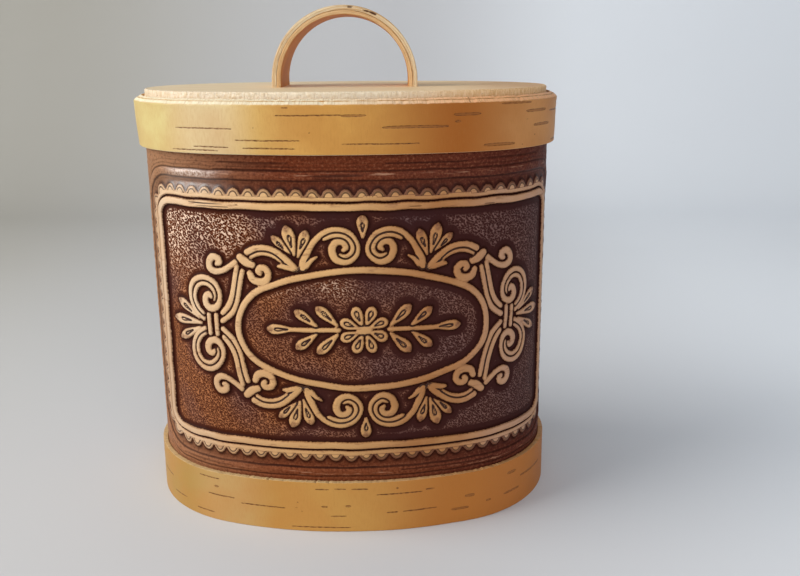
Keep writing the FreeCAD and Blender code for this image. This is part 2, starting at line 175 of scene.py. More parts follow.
def grid_mesh(name, points, loop_u, loop_v, facts):
    """Mesh of quads over a grid of points; open ends are capped."""
    nu, nv = points.shape[:2]
    index = np.arange(nu * nv).reshape(nu, nv)
    if loop_u:
        index = np.vstack([index, index[:1]])
    if loop_v:
        index = np.hstack([index, index[:, :1]])
    quads = np.stack([index[:-1, :-1], index[1:, :-1], index[1:, 1:], index[:-1, 1:]], -1)
    faces = [tuple(q) for q in quads.reshape(-1, 4).tolist()]
    if not loop_u:
        faces += [tuple(range(nv))[::-1], tuple(range((nu - 1) * nv, nu * nv))]
    if not loop_v:
        faces += [tuple(range(0, nu * nv, nv))[::-1], tuple(range(nv - 1, nu * nv, nv))]
    mesh = bpy.data.meshes.new(name)
    mesh.from_pydata((points.reshape(-1, 3) * MM).tolist(), [], faces)
    for fact, values in facts.items():
        values = np.broadcast_to(values, (nu, nv)).astype(np.float32).ravel()
        mesh.attributes.new(fact, "FLOAT", "POINT").data.foreach_set("value", values)
    mesh.shade_smooth()
    mesh.set_sharp_from_angle(angle=SHARP_ANGLE)
    return mesh


def in_scene(name, data):
    thing = bpy.data.objects.new(name, data)
    bpy.context.scene.collection.objects.link(thing)
    return thing


def dress(name, points, loops, facts, material, body, node):
    """Puts a grid mesh in the scene in place of a CAD node."""
    mesh = grid_mesh(name, points, *loops, facts)
    mesh.materials.append(material)
    piece = in_scene(name, mesh)
    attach(piece, body)
    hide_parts(node)


def ring_points(s, offsets, heights):
    """Points round the wall from offsets and heights at girth positions."""
    x, y = oval(s[:, None], offsets)
    return np.stack([x, y, np.broadcast_to(heights, x.shape)], -1)


def rounded_section(inner, outer, low, high, radius, step):
    """Closed section of a strip, from the foot of its outer face upward.

    Returns each point's offset, height and share of cut edge.
    """
    corners = [(outer, low), (outer, high), (inner, high), (inner, low)]
    points, cut = [], []
    for k, (offset, height) in enumerate(corners):
        x = offset + (radius if offset == inner else -radius)
        y = height + (radius if height == low else -radius)
        for m in range(CORNER_STEPS + 1):
            share = m / CORNER_STEPS
            angle = math.radians(-90 + 90 * k + 90 * share)
            points.append((x + radius * math.cos(angle), y + radius * math.sin(angle)))
            cut.append(1 - share if k in (0, 2) else share)
        x, y = points[-1]
        across, up = np.subtract(corners[(k + 1) % 4], (offset, height))
        length = abs(across) + abs(up) - 2 * radius
        count = max(1, round(length / (INNER_STEP if k == 2 else step)))
        for m in range(1, count):
            travel = length * m / count
            points.append((x + travel * np.sign(across), y + travel * np.sign(up)))
            cut.append(cut[-1])
    section = np.array(points)
    return section[:, 0], section[:, 1], np.array(cut)


# ---- embossing: distances in panel coordinates ----

PANEL_SHIFT = 6.5
PANEL_HEIGHT = 70.0
RELIEF_DEPTH = 0.7
STROKE_REACH = 4.0
LINE_STEP = 0.2  # of the curve parameter between two knots
FAR = -9.0

# Strokes of the upper left quarter: (p, q, width) at each knot. Strands side by side are in
# different sets, so that the thin gap between them stays sharp.
STROKES_A = [
    # outer strand of the large upper volute
    [(-19.2, 20.1, 1.7), (-18.4, 22.8, 2.1), (-17.1, 25.7, 1.8), (-15.4, 28.8, 1.6),
     (-12.3, 31.5, 1.5), (-8.1, 32.6, 1.4), (-4.1, 31.4, 1.3), (-1.6, 27.8, 1),
     (-2, 24.5, 1.2), (-4.9, 22.3, 1.6), (-8.2, 23.2, 2), (-9.6, 26.3, 2.1),
     (-8.5, 28.6, 1.9), (-6.3, 28.7, 1.7), (-5.2, 27.2, 1.6), (-6, 26.2, 1)],
    # arch from the palmette to the tie
    [(-37, 24.9, 1.9), (-34.2, 26.2, 1.7), (-31, 26.4, 1.6), (-27.8, 25.5, 1.7),
     (-24.8, 23.4, 1.9), (-22.4, 21.2, 1.9), (-20.6, 19.6, 0.9)],
    # small volutes inside and outside the tie
    [(-36.5, 17.9, 1.8), (-35.6, 16.1, 2.1), (-33.4, 15.4, 2.2), (-31.1, 16.3, 2.1),
     (-30.4, 18.5, 2), (-31.5, 20, 1.8), (-33.2, 20, 1.7), (-33.8, 19, 1.6),
     (-33.2, 18.3, 1.4)],
    [(-41.4, 21.5, 1.5), (-43.4, 19.9, 1.6), (-46, 18.3, 1.6), (-48.7, 17.8, 1.9),
     (-50.7, 18.9, 2.1), (-50.9, 21.1, 2.1), (-49.4, 22.7, 2.1), (-47.4, 22.3, 1.9),
     (-47, 20.9, 1.7), (-48, 20.4, 1.3)],
    # outer strand of the large side volute
    [(-54.2, 1.7, 1.3), (-57.6, 4.1, 1.4), (-59.6, 7.7, 1.4), (-59.4, 11.6, 1.5),
     (-57.2, 14.5, 1.6), (-53.6, 15.7, 1.6), (-50.1, 14.5, 1.5), (-48, 11.8, 1.3),
     (-47.7, 8.7, 1.4), (-49, 6.2, 1.9), (-51.3, 5.5, 2.1), (-53.2, 7, 2.2),
     (-53.2, 9.1, 2), (-51.8, 10.1, 1.7), (-50.9, 9.3, 1.2)],
    # outer stem
    [(-41, 19.9, 1.2), (-41.6, 16.7, 1.6), (-42.3, 13.2, 1.6), (-43.3, 9.7, 1.6),
     (-44.8, 6.7, 1.6), (-46.9, 4.2, 1.5)],
]
STROKES_B = [
    # inner strand of the large upper volute
    [(-12.2, 29.6, 0.9), (-9.4, 30.7, 1.2), (-6.4, 30.7, 1.2), (-4.1, 29.3, 1.2),
     (-3.1, 27, 1.2), (-3.7, 25.1, 1.1), (-5.4, 24.2, 1), (-7.2, 24.8, 0.5)],
    # barbs at the foot of the palmette
    [(-18.9, 20, 1.5), (-17.6, 21.5, 1.8), (-16.2, 22.8, 1.1), (-14.3, 23.9, 0.3)],
    [(-26.8, 20.7, 0.6), (-25.2, 20.7, 1.5), (-23, 20.3, 1.8), (-20.9, 19.3, 0.8)],
    # lower strand of the arch
    [(-35.9, 23.4, 0.9), (-33.6, 24.4, 1), (-31, 24.6, 1), (-28.2, 23.9, 1),
     (-25.6, 22.3, 0.8)],
    # tie
    [(-39.6, 23.1, 2.3), (-37.9, 21.7, 2.7), (-35.7, 20.8, 2)],
    # inner strand of the large side volute
    [(-54.2, 3.5, 0.9), (-56.5, 5.3, 1.1), (-57.8, 8.1, 1.2), (-57.2, 11.1, 1.2),
     (-55.3, 13.1, 1.2), (-52.6, 13.5, 1.2), (-50.4, 12.1, 1.1), (-49.4, 10, 0.8),
     (-49.7, 8.3, 0.5)],
    # inner stem
    [(-39.1, 18.5, 1.3), (-39.8, 15.7, 1.5), (-40.8, 11.2, 1.3), (-41.8, 7.7, 1.4),
     (-43.6, 4.3, 1.6), (-47.1, 1.4, 1.5)],
]

# Leaves: foot, tip and width, and the same of the drop cut into each.
LEAVES_A = [
    ((-21.4, 24.6), (-24.1, 33), 3.6, (-22.3, 27), (-23.2, 30.3), 1.1),
    ((-56.2, 1.7), (-65.6, 6.5), 2.9, (-59.6, 3.2), (-63, 5.1), 0.9),
    ((-15.4, 1.2), (-21.6, 6.1), 3, (-17.4, 2.8), (-19.8, 4.8), 1),
]
LEAVES_B = [
    ((-20.2, 24), (-18, 31.8), 3.1, (-19.6, 26.6), (-18.6, 29.3), 1.1),
    ((-22.7, 25.1), (-28.4, 30), 2.4, (-24.9, 26.4), (-26.8, 28.4), 0.8),
    ((-55.4, 0), (-68.4, 0), 3.2, (-60, 0), (-64.6, 0), 1),
    ((0, 30.2), (0, 36.2), 3.3, (0, 31.9), (0, 34.1), 1.1),
    ((-8.6, 1.6), (-14.6, 7.3), 3.4, (-10.4, 3.3), (-13, 5.9), 1.1),
    ((-22.4, 0), (-31, 0), 3.2, (-24.6, 0), (-28.6, 0), 1),
]
LEAF_PROFILE = [(0.0, 0.22), (0.3, 0.55), (0.58, 0.9), (0.8, 0.95), (1.0, 0.35)]
DROP_PROFILE = [(0.0, 0.15), (0.45, 0.6), (0.8, 1.0), (1.0, 0.75)]
DROP_LINE = 0.26
TIP_FADE = (0.7, 1.6)  # reach and width of the worn tip of a leaf

# Dark lines cut into the ties and small volutes.
CUT_LINES = [
    [(-41, 22.4, 0.45), (-38.5, 20.1, 0.5), (-35.3, 19.2, 0.4)],
    [(-38.2, 24.5, 0.4), (-36.5, 22.6, 0.5), (-35, 21.8, 0.4)],
    [(-34.9, 18.8, 0.4), (-34.3, 17.3, 0.5), (-33.2, 17, 0.5), (-31.9, 17.4, 0.5),
     (-31.4, 18.5, 0.3)],
    [(-49.8, 20.3, 0.4), (-49.3, 19.5, 0.5), (-48, 19.2, 0.5), (-46.5, 19.5, 0.5),
     (-45.9, 20, 0.3)],
]

SIDE_BARS = (49.4, 52.1)
BAR_HALF_HEIGHT = 3.3
BAR_WIDTH = 1.3
CARTOUCHE = (41.4, 19.6, 14.2)  # half width, half height and end radius of the oval ring
CARTOUCHE_WIDTH = 1.8
PETAL = (2.0, 7.4, 3.3)  # start radius, tip radius and width
PETAL_DROP = (1.6, 1.2, 0.4)  # its drop: in from start and tip, share of the width
PETAL_ANGLES = (22.5, 67.5)
ROSETTE_BOSS = [(-0.75, 0, 3), (0, 0, 3)]
SPRIG_STEM = [(-8, 0, 1.2), (-23.2, 0, 1.2)]

# Border, by its distance outward from the edge of the ground.
GROUND_HALF = (73.2, 38.4)
GROUND_CORNER = 4.5
SIDE_STRETCH = 0.78  # the border is wider on the sides than above and below
RAIL = (1.2, 1.2)  # middle and half width
SCALLOP_STRIP = (3.66, 0.6)
SCALLOP_FILLET = 1.5
SCALLOP_BASE = 4.0
SCALLOP_SIZE = (2.2, 2.8)  # half width and height
SCALLOP_PITCH = 5.1
SCALLOP_DOTS = (1.65, 4.45, 0.24)  # dark dots at its feet: shift, border distance and radius
SCALLOP_ARC = 0.36  # dark arc inside it, as a share of its radius
TROUGH = (5.0, 8.6)  # smooth dark trough outside the scallops
PIPE_LINES = ((9.2, 0.28, 1.0), (12.2, 0.26, 0.9), (13.4, 0.2, 0.4), (14.6, 0.18, 0.3))
PIPE = (10.7, 1.5, 0.22)  # rounded fold outside it: middle, half width and rise
BOLD = 0.2  # added to the strokes on each side
RAIL_PROUD = 0.25  # above the plain bark


def round_line(knots):
    """Points with widths on a smooth curve through the knots of a stroke."""
    knots = np.array(knots, float)
    padded = np.vstack([2 * knots[0] - knots[1], knots, 2 * knots[-1] - knots[-2]])
    points = []
    for a, b, c, d in zip(padded, padded[1:], padded[2:], padded[3:]):
        for t in np.arange(0, 1, LINE_STEP):
            points.append(0.5 * (2 * b + (c - a) * t + (2 * a - 5 * b + 4 * c - d) * t ** 2
                                 + (3 * b - 3 * c + d - a) * t ** 3))
    points.append(knots[-1])
    return np.array(points)


def stroke_distance(p, q, knots):
    """Signed distance to a stroke of changing width, positive inside it."""
    line = round_line(knots)
    result = np.full(p.shape, FAR)
    low, high = line.min(0) - STROKE_REACH, line.max(0) + STROKE_REACH
    near = (p > low[0]) & (p < high[0]) & (q > low[1]) & (q < high[1])
    u, v = p[near], q[near]
    best = np.full(u.shape, FAR)
    for start, end in zip(line, line[1:]):
        run = end - start
        du, dv = u - start[0], v - start[1]
        share = np.clip((du * run[0] + dv * run[1]) / (run[0] ** 2 + run[1] ** 2), 0, 1)
        gap = np.hypot(du - share * run[0], dv - share * run[1])
        best = np.maximum(best, (start[2] + share * run[2]) / 2 - gap)
    result[near] = best
    return result


def union(p, q, strokes):
    """Distance to the nearest of several strokes."""
    return np.max([stroke_distance(p, q, knots) for knots in strokes], 0)


def profile_knots(foot, tip, width, profile):
    """Stroke knots from a foot to a tip with a width profile."""
    foot, tip = np.array(foot), np.array(tip)
    return [(*(foot + (tip - foot) * share), width * breadth) for share, breadth in profile]


def cartouche_knots():
    """A quarter of the oval ring, from its left end to its top."""
    half_p, half_q, end = CARTOUCHE
    flat = (half_p ** 2 - 2 * half_p * end + half_q ** 2) / (2 * (half_q - end))
    join = math.atan2(flat - half_q, half_p - end)
    knots = [(end - half_p - end * math.cos(angle), end * math.sin(angle), CARTOUCHE_WIDTH)
             for angle in np.linspace(-0.1, join, 9)]
    return knots + [(-flat * math.cos(angle), half_q - flat + flat * math.sin(angle),
                     CARTOUCHE_WIDTH) for angle in np.linspace(join, math.pi / 2, 8)[1:]]


def petal_leaves():
    """Two petals of the rosette in the upper left quarter."""
    near, far, width = PETAL
    drop_near, drop_far, drop_width = PETAL_DROP
    leaves = []
    for degrees in PETAL_ANGLES:
        ray = np.array([-math.cos(math.radians(degrees)), math.sin(math.radians(degrees))])
        drop = ray * (near + drop_near), ray * (far - drop_far), width * drop_width
        leaves.append((ray * near, ray * far, width, *drop))
    return leaves


def worn_tip(leaf):
    """Short stroke over the tip of a leaf."""
    foot, tip = np.array(leaf[0]), np.array(leaf[1])
    back = (foot - tip) / np.hypot(*(foot - tip))
    reach, width = TIP_FADE
    return [(*(tip + back * reach), width * 0.6), (*tip, width)]


def scallop_distance(q, dp, dq, border):
    """Scallops outside the strip: distance to the edge, share inside, distance to the dots."""
    corner = GROUND_CORNER + SCALLOP_BASE
    turn = np.arctan2(np.maximum(dq, 1e-6), np.maximum(dp, 1e-6))
    corner_length = corner * math.pi / 2
    straight_q = GROUND_HALF[1] - GROUND_CORNER
    round_corner = straight_q + turn * corner
    above = straight_q + corner_length - np.minimum(dp, 0) / SIDE_STRETCH
    along = np.where(dq <= 0, np.abs(q), np.where(dp <= 0, above, round_corner))
    total = straight_q + corner_length + GROUND_HALF[0] - GROUND_CORNER / SIDE_STRETCH
    pitch = total / (round(total / SCALLOP_PITCH - 0.5) + 0.5)
    shift = ((along / pitch) % 1 - 0.5) * pitch
    reach = np.hypot(shift / SCALLOP_SIZE[0], (border - SCALLOP_BASE) / SCALLOP_SIZE[1])
    edge = np.minimum((1 - reach) * SCALLOP_SIZE[0], border - SCALLOP_BASE)
    foot, foot_border, radius = SCALLOP_DOTS
    dots = radius - np.hypot(np.abs(shift) - foot, border - foot_border)
    return edge, np.where(border > SCALLOP_BASE + 0.3, 1 - reach, FAR), dots


def embossing(s, z):
    """Distances that describe the embossed panel."""
    p = s - PANEL_SHIFT + sample(WOBBLE[0], s, z) * WOBBLE_SIZE
    q = z - PANEL_HEIGHT + sample(WOBBLE[1], s, z) * WOBBLE_SIZE
    left, up = -np.abs(p), np.abs(q)
    petals = petal_leaves()
    strokes_a = STROKES_A + [cartouche_knots(), ROSETTE_BOSS]
    strokes_b = STROKES_B + [SPRIG_STEM]
    for strokes, leaves, bar in ((strokes_a, LEAVES_A + petals[:1], -SIDE_BARS[0]),
                                 (strokes_b, LEAVES_B + petals[1:], -SIDE_BARS[1])):
        strokes += [profile_knots(*leaf[:3], LEAF_PROFILE) for leaf in leaves]
        strokes.append([(bar, 0, BAR_WIDTH), (bar, BAR_HALF_HEIGHT, BAR_WIDTH)])

    # Border: dp and dq run outward from the centre of the corner's rounding.
    dp = (np.abs(p) - GROUND_HALF[0]) * SIDE_STRETCH + GROUND_CORNER
    dq = np.abs(q) - GROUND_HALF[1] + GROUND_CORNER
    border = (np.hypot(np.maximum(dp, 0), np.maximum(dq, 0))
              + np.minimum(np.maximum(dp, dq), 0) - GROUND_CORNER)
    rail = RAIL[1] - np.abs(border - RAIL[0])
    strip = SCALLOP_STRIP[1] - np.abs(border - SCALLOP_STRIP[0])
    scallop, arch, dots = scallop_distance(q, dp, dq, border)
    close = np.maximum(1 - np.abs(scallop - strip) / SCALLOP_FILLET, 0)

    leaves = LEAVES_A + LEAVES_B
    drops = union(left, up, [profile_knots(*leaf[3:], DROP_PROFILE) for leaf in leaves + petals])
    cut = np.maximum(DROP_LINE - np.abs(drops), union(left, up, CUT_LINES))
    return {"rise_a": np.maximum(union(left, up, strokes_a) + BOLD, rail),
            "rise_b": np.maximum(union(left, up, strokes_b) + BOLD, strip),
            "scallop": np.maximum(scallop, strip) + close ** 2 * SCALLOP_FILLET / 4,
            "rail": rail, "arch": arch, "cut": np.maximum(cut, dots), "border": border,
            "tip": union(left, up, [worn_tip(leaf) for leaf in leaves])}


# ---- lenticels ----

# Long pores of the bark: start, end, height and half width.
LID_MARKS = [
    (-51.9, -32.5, 133.5, 0.13), (-31.5, -11.6, 130.1, 0.14), (-29.3, -13, 127.7, 0.13),
    (-54, -37.4, 126.8, 0.12), (-45.6, -33.9, 127.9, 0.12), (-18.5, 1, 137.6, 0.14),
    (0.9, 7.9, 137.5, 0.28), (-16.3, -14.8, 140.1, 0.3), (-25.6, -25.2, 133.8, 0.14),
    (-8.8, -8.4, 132.4, 0.14), (12.9, 32.6, 133.9, 0.32), (0.7, 24, 129, 0.12),
    (34.5, 42.8, 137.3, 0.34), (35, 36.5, 135.2, 0.3), (44.6, 55.6, 127.6, 0.38),
    (49.9, 62.2, 140.5, 0.3), (60.3, 71.4, 137.4, 0.36), (64.8, 74.8, 132.8, 0.36),
    (60.8, 61.2, 134.8, 0.16), (65.3, 65.7, 129.7, 0.16), (59.3, 59.7, 126.9, 0.16),
]
FOOT_MARKS = [
    (-52.3, -44.2, 15.7, 0.14), (-67.7, -59.9, 4.5, 0.14), (-80, -68.7, 9.5, 0.15),
    (-46.2, -44.9, 12.7, 0.3), (-49.1, -38.8, 9.6, 0.14), (-36.3, -20.9, 8.1, 0.14),
    (-54.4, -46.9, 2.7, 0.14), (-10.5, -5.9, 15.5, 0.14), (-4.2, -0.6, 15.7, 0.14),
    (-8.6, -6.7, 9.2, 0.24), (-0.6, 1, 9.5, 0.28), (-5.7, -0.6, 5.8, 0.14),
    (-18.7, 0.9, 1.6, 0.12), (-17.2, -16.8, 8.5, 0.16), (-15.2, -14.8, 7.2, 0.16),
    (-16.6, -16.2, 10.5, 0.16), (1.2, 6.9, 15.6, 0.14), (16.3, 16.7, 15.4, 0.28),
    (26, 28.7, 14, 0.2), (9.5, 24.6, 13.4, 0.14), (39.9, 42.8, 9.4, 0.42),
    (56.7, 60.4, 13.5, 0.4), (63.4, 78, 10.5, 0.28), (47.7, 49, 6.2, 0.3),
    (12.9, 16.5, 6.7, 0.16), (18.3, 29.7, 6.8, 0.16), (35.1, 40.9, 5.2, 0.33),
    (55, 62.5, 6.5, 0.28),
]
# Pores in the plain bark above and below the panel, and scars in the rail.
WRAP_MARKS = [
    (-40, -16, 123.1, 0.24), (-36, -13, 122.1, 0.16), (-41, -14, 120.9, 0.26),
    (-9, 7, 119.3, 0.28), (-8, 2, 118.4, 0.18), (14, 40, 122.8, 0.2), (44, 74, 123.4, 0.2),
    (-34, 10, 22.5, 0.2), (18, 52, 21.2, 0.2), (-62, -40, 20.9, 0.2),
]
RAIL_SCARS = [
    (-51, -38, 109.9, 0.14), (-48, -36, 109.1, 0.16), (-33.4, -33, 109.9, 0.14),
    (-12, -9, 109.2, 0.08), (21, 25, 109.5, 0.1), (46, 50, 109, 0.1),
]
# Flecks in the handle's outer edge: start, end, place in the layers and half width.
HANDLE_SPECKS = [
    (57.6, 60, 3.6, 0.6), (58.2, 59.3, 1.9, 0.5), (61.2, 63, 3.3, 0.65),
    (61.8, 62.6, 1.6, 0.5), (64, 65, 2.4, 0.6), (65.6, 69.4, 3.6, 0.5),
    (66.2, 67.8, 2.2, 0.5),
]
BAND_UNSEEN = 82.0  # the bands have random pores beyond this girth
WRAP_UNSEEN = 104.0  # and the wrap beyond this one


def scattered_marks(seed, count, low, high, widths, lengths, clear):
    """Random pores where the listed ones leave the girth free."""
    rng = np.random.default_rng(seed)
    marks = []
    for _ in range(count):
        middle = rng.uniform(clear, GIRTH - clear)
        half = rng.uniform(*lengths) / 2
        marks.append((middle - half, middle + half, rng.uniform(low, high), rng.uniform(*widths)))
    return marks


def pore_distance(s, z, marks):
    """Signed distance to the nearest pore, positive inside it."""
    result = np.full(np.broadcast(s, z).shape, FAR)
    for start, end, height, half in marks:
        middle, reach = (start + end) / 2, (end - start) / 2
        run = wrapped(s - middle)
        beyond = np.maximum(np.abs(run) - reach, 0)
        taper = half * np.clip(1.15 - (run / (reach + half)) ** 2 * 0.6, 0.3, 1)
        sway = 0.05 * np.sin(run / 4.3 + height)
        result = np.maximum(result, taper - np.hypot(beyond, z - height - sway))
    return result


# ---- shader helper ----

MIX_A, MIX_B, MIX_RESULT = 6, 7, 2  # colour sockets of a mix node


def rgb(red, green, blue):
    """Linear colour from 0 to 255 screen values."""
    linear = []
    for value in (red, green, blue):
        c = value / 255
        linear.append(c / 12.92 if c <= 0.04045 else ((c + 0.055) / 1.055) ** 2.4)
    return (*linear, 1)


class Shader:
    """A node material whose methods add nodes and return output sockets."""

    def __init__(self, name, roughness, specular=0.5):
        self.material = bpy.data.materials.new(name)
        self.material.use_nodes = True
        self.tree = self.material.node_tree
        self.surface = self.tree.nodes["Principled BSDF"].inputs
        self.surface["Roughness"].default_value = roughness
        self.surface["Specular IOR Level"].default_value = specular

    def put(self, socket, value):
        """Links or sets a value; None leaves the socket as it is."""
        if isinstance(value, bpy.types.NodeSocket):
            self.tree.links.new(value, socket)
        elif value is not None:
            socket.default_value = value

    def add(self, kind, inputs, output=0, **settings):
        node = self.tree.nodes.new("ShaderNode" + kind)
        for key, value in settings.items():
            setattr(node, key, value)
        for key, value in inputs.items():
            self.put(node.inputs[key], value)
        return node.outputs[output]

    def facts(self, *names):
        return [self.add("Attribute", {}, "Fac", attribute_name=name) for name in names]

    def math(self, operation, a, b=0.0):
        return self.add("Math", {0: a, 1: b}, operation=operation)

    def plus(self, a, b):
        return self.math("ADD", a, b)

    def minus(self, a, b):
        return self.math("SUBTRACT", a, b)

    def times(self, a, b, c=None):
        product = self.math("MULTIPLY", a, b)
        return product if c is None else self.math("MULTIPLY", product, c)

    def larger(self, a, b):
        return self.math("MAXIMUM", a, b)

    def away(self, value, middle=0.0):
        """Distance of a value from a middle."""
        return self.math("ABSOLUTE", self.minus(value, middle))

    def mix(self, share, a, b, blend_type="MIX"):
        """Mix of two tones: sockets, 0 to 255 screen values or linear colours."""
        a, b = (rgb(*tone) if isinstance(tone, tuple) and len(tone) == 3 else tone
                for tone in (a, b))
        return self.add("Mix", {0: share, MIX_A: a, MIX_B: b}, MIX_RESULT,
                        data_type="RGBA", blend_type=blend_type)

    def span(self, value, low, high, start=0.0, end=1.0):
        inputs = {"Value": value, "From Min": low, "From Max": high, "To Min": start, "To Max": end}
        return self.add("MapRange", inputs, interpolation_type="SMOOTHSTEP")

    def coats(self, tone, *coats):
        """Coats over a tone, each a value, its span, the shares at its ends, and a tone."""
        for *span, coat in coats:
            tone = self.mix(self.span(*span), tone, coat)
        return tone

    def place(self, x, y, z=0.0):
        return self.add("CombineXYZ", {0: x, 1: y, 2: z})

    def axis(self, place, number):
        return self.add("SeparateXYZ", {0: place}, number)

    def stretched(self, vector, factors):
        return self.add("VectorMath", {0: vector, 1: factors}, operation="MULTIPLY")

    def noise(self, vector, scale, detail=2.0, roughness=0.5, stretch=None):
        if stretch:
            vector = self.stretched(vector, stretch)
        return self.add("TexNoise", {"Vector": vector, "Scale": scale, "Detail": detail,
                                     "Roughness": roughness})

    def pits(self, vector, scale):
        """Distance to the nearest of scattered pits."""
        return self.add("TexVoronoi", {"Vector": vector, "Scale": scale}, "Distance",
                        voronoi_dimensions="2D")

    def object_place(self):
        """Object coordinates in millimetres."""
        place = self.add("TexCoord", {}, "Object")
        return self.stretched(place, (1 / MM, 1 / MM, 1 / MM))

    def bump(self, height, strength=1.0, under=None):
        return self.add("Bump", {"Height": height, "Distance": MM, "Strength": strength,
                                 "Normal": under})

    def finish(self, colour, normal=None, roughness=None):
        for name, value in (("Base Color", colour), ("Normal", normal), ("Roughness", roughness)):
            self.put(self.surface[name], value)
        return self.material


# ---- materials ----

SHEEN_GIRTH = -50  # middle of the window's sheen on the plain bark, upper left


def stained_bark():
    """Bark stained dark brown, with the raised ornament wiped back to tan."""
    m = Shader("stained_bark", 0.42)
    girth, height, border, rise_a, rise_b, scallop, arch = m.facts(
        "girth", "height", "border", "rise_a", "rise_b", "scallop", "arch")
    cut, tip, wipe_and_light, pale, pore = m.facts("cut", "tip", "wipe_and_light", "pale", "pore")
    place = m.place(girth, height)
    fine = m.noise(place, 3, 4, 0.65)
    cloud = m.noise(place, 0.11, 3)
    mottle = m.noise(place, 1.1, 4, 0.7)
    streak = m.noise(place, 1, 3, 0.6, (0.12, 1.5, 1))
    smear = m.noise(place, 0.5, 3, 0.6, (0.3, 1.3, 1))
    sway = m.times(m.noise(place, 0.7), 1.8)
    grain = m.stretched(m.place(m.plus(girth, sway), m.minus(height, sway)), (0.85, 1.15, 1))
    stipple = m.mix(m.span(height, 76, 92), m.pits(grain, 1.8), m.pits(grain, 1.45))
    stipple = m.plus(stipple, m.times(m.minus(fine, 0.5), 0.5))

    # Ornament: where it is raised, and the dark lines in it.
    ragged = m.span(m.noise(place, 1.3, 3, 0.6), 0.3, 0.7, -0.08, 0.08)
    strands = m.larger(rise_a, rise_b)
    raised = m.plus(m.larger(strands, scallop), ragged)
    tan_share = m.span(raised, -0.05, 0.09)
    apart = m.span(m.away(rise_a, rise_b), 0.42, 0.78, 1, 0)
    gap = m.times(apart, m.span(strands, 0.36, 0.6, 1, 0))
    arc = m.span(m.away(arch, SCALLOP_ARC), 0.05, 0.12, 0.8, 0)
    lines = m.larger(m.span(cut, -0.1, 0.08), m.larger(gap, arc))

    # Tan tones along the girth, partly its own and partly painted light: paler towards the window
    # at the left, darker to the right, lighter again at the right end and darker at the far left
    # end.
    tan = m.coats(
        (216, 190, 160), (girth, -72, -8, (222, 175, 117)), (girth, -6, 27, (178, 120, 70)))
    low = m.times(m.span(height, 45, 85, 0.32, 0), m.span(girth, 20, 50, 1, 0))
    tan = m.coats(
        m.mix(low, tan, (150, 98, 52)), (girth, 32, 58, (197, 152, 122)),
        (girth, -74, -63, 0.75, 0, (170, 134, 104)), (cloud, 0.35, 0.65, 0, 0.3, (206, 156, 104)),
        (fine, 0.56, 0.75, 0, 0.3, (166, 116, 74)), (smear, 0.58, 0.7, 0, 0.6, (146, 98, 66)),
        (raised, 0.0, 0.5, 0.6, 0, (150, 98, 60)))
    tips = m.times(m.span(tip, -0.9, 0.2), m.span(mottle, 0.35, 0.6, 0.9, 0.4))
    ring = m.times(m.span(arch, 0.2, 0.33, 1, 0), m.span(arch, -4, -2),
                   m.span(girth, -50, 15, 0.12, 0.9))
    tan = m.mix(m.larger(tips, ring), tan, (112, 66, 46))

    # Ground between the ornament: dark pits in a paler net, darkest beside the strokes. The net's
    # tones are partly painted light towards the window at the left, and its glints are a painted
    # highlight of it.
    pooled = m.plus(raised, m.span(wipe_and_light, 0.2, 0.55, 1.0, 0))
    open_ground = m.times(m.span(pooled, -2.3, -1.0, 1, 0), m.span(border, -2.0, -0.8, 1, 0))
    dots = m.times(m.span(stipple, 0.3, 0.42), open_ground)
    glints = m.times(m.span(stipple, 0.5, 0.62), open_ground)
    ground = m.mix(dots, m.mix(wipe_and_light, (60, 30, 29), (70, 30, 13)),
                   m.mix(wipe_and_light, (84, 54, 52), (129, 76, 47)))
    # Glints: painted highlights, palest where pale is high at the upper left.
    glint = m.mix(wipe_and_light, (116, 88, 86), (162, 104, 66))
    ground = m.mix(glints, ground, m.mix(pale, glint, (232, 202, 178)))

    # Plain bark round the panel, with its folds and scratches, pale streaks on the fold as a
    # painted highlight, and a sheen at the upper left: lower roughness there and a painted sheen of
    # the window.
    # Plain bark tones, partly its own and partly painted light: lighter at the left towards the
    # window, darker to the right, and lighter near the bottom.
    plain = m.coats(
        (152, 112, 82), (girth, -70, -15, (110, 52, 28)), (height, 22, 40, 0.35, 0, (140, 80, 48)),
        (girth, 0, 60, (96, 46, 34)), (m.away(girth), 80, 140, (112, 58, 40)),
        (mottle, 0.5, 0.68, 0, 0.5, (156, 100, 70)), (mottle, 0.34, 0.5, 0.6, 0, (62, 26, 15)),
        (streak, 0.56, 0.72, 0, 0.45, (66, 28, 17)))
    # Pale streaks along the outer side of the fold: a painted highlight.
    fold_highlight = m.span(m.away(border, PIPE[0] + 0.5), 0.3, 1.1, 0.7, 0)
    plain = m.mix(m.times(m.span(streak, 0.3, 0.44, 1, 0), fold_highlight), plain, (190, 142, 112))
    sheen = m.away(girth, SHEEN_GIRTH)
    upper = m.span(height, 96, 106)
    # Painted sheen: pale colour where the window is reflected, on the fold at the upper left.
    painted_sheen = m.times(m.span(m.away(border, PIPE[0]), 0.6, 1.3, 1, 0), m.span(sheen, 3, 13, 0.7, 0),
                   m.times(m.span(mottle, 0.42, 0.58), upper))
    plain = m.mix(painted_sheen, plain, (206, 188, 176))
    folds = 0.0
    for middle, width, depth in PIPE_LINES:
        folds = m.larger(folds, m.span(m.away(border, middle), width * 0.4, width * 1.8, depth, 0))
    plain = m.mix(m.times(folds, 0.75), plain, (44, 16, 9))
    ground = m.coats(
        ground, (border, SCALLOP_BASE, SCALLOP_BASE + 0.6, m.mix(0.35, plain, (58, 22, 14))),
        (border, TROUGH[1] - 0.3, TROUGH[1] + 0.5, plain),
        (pore, -0.25, 0.1, 0, 0.7, (48, 19, 11)), (raised, -1.3, -0.05, 0, 0.85, (42, 11, 5)))

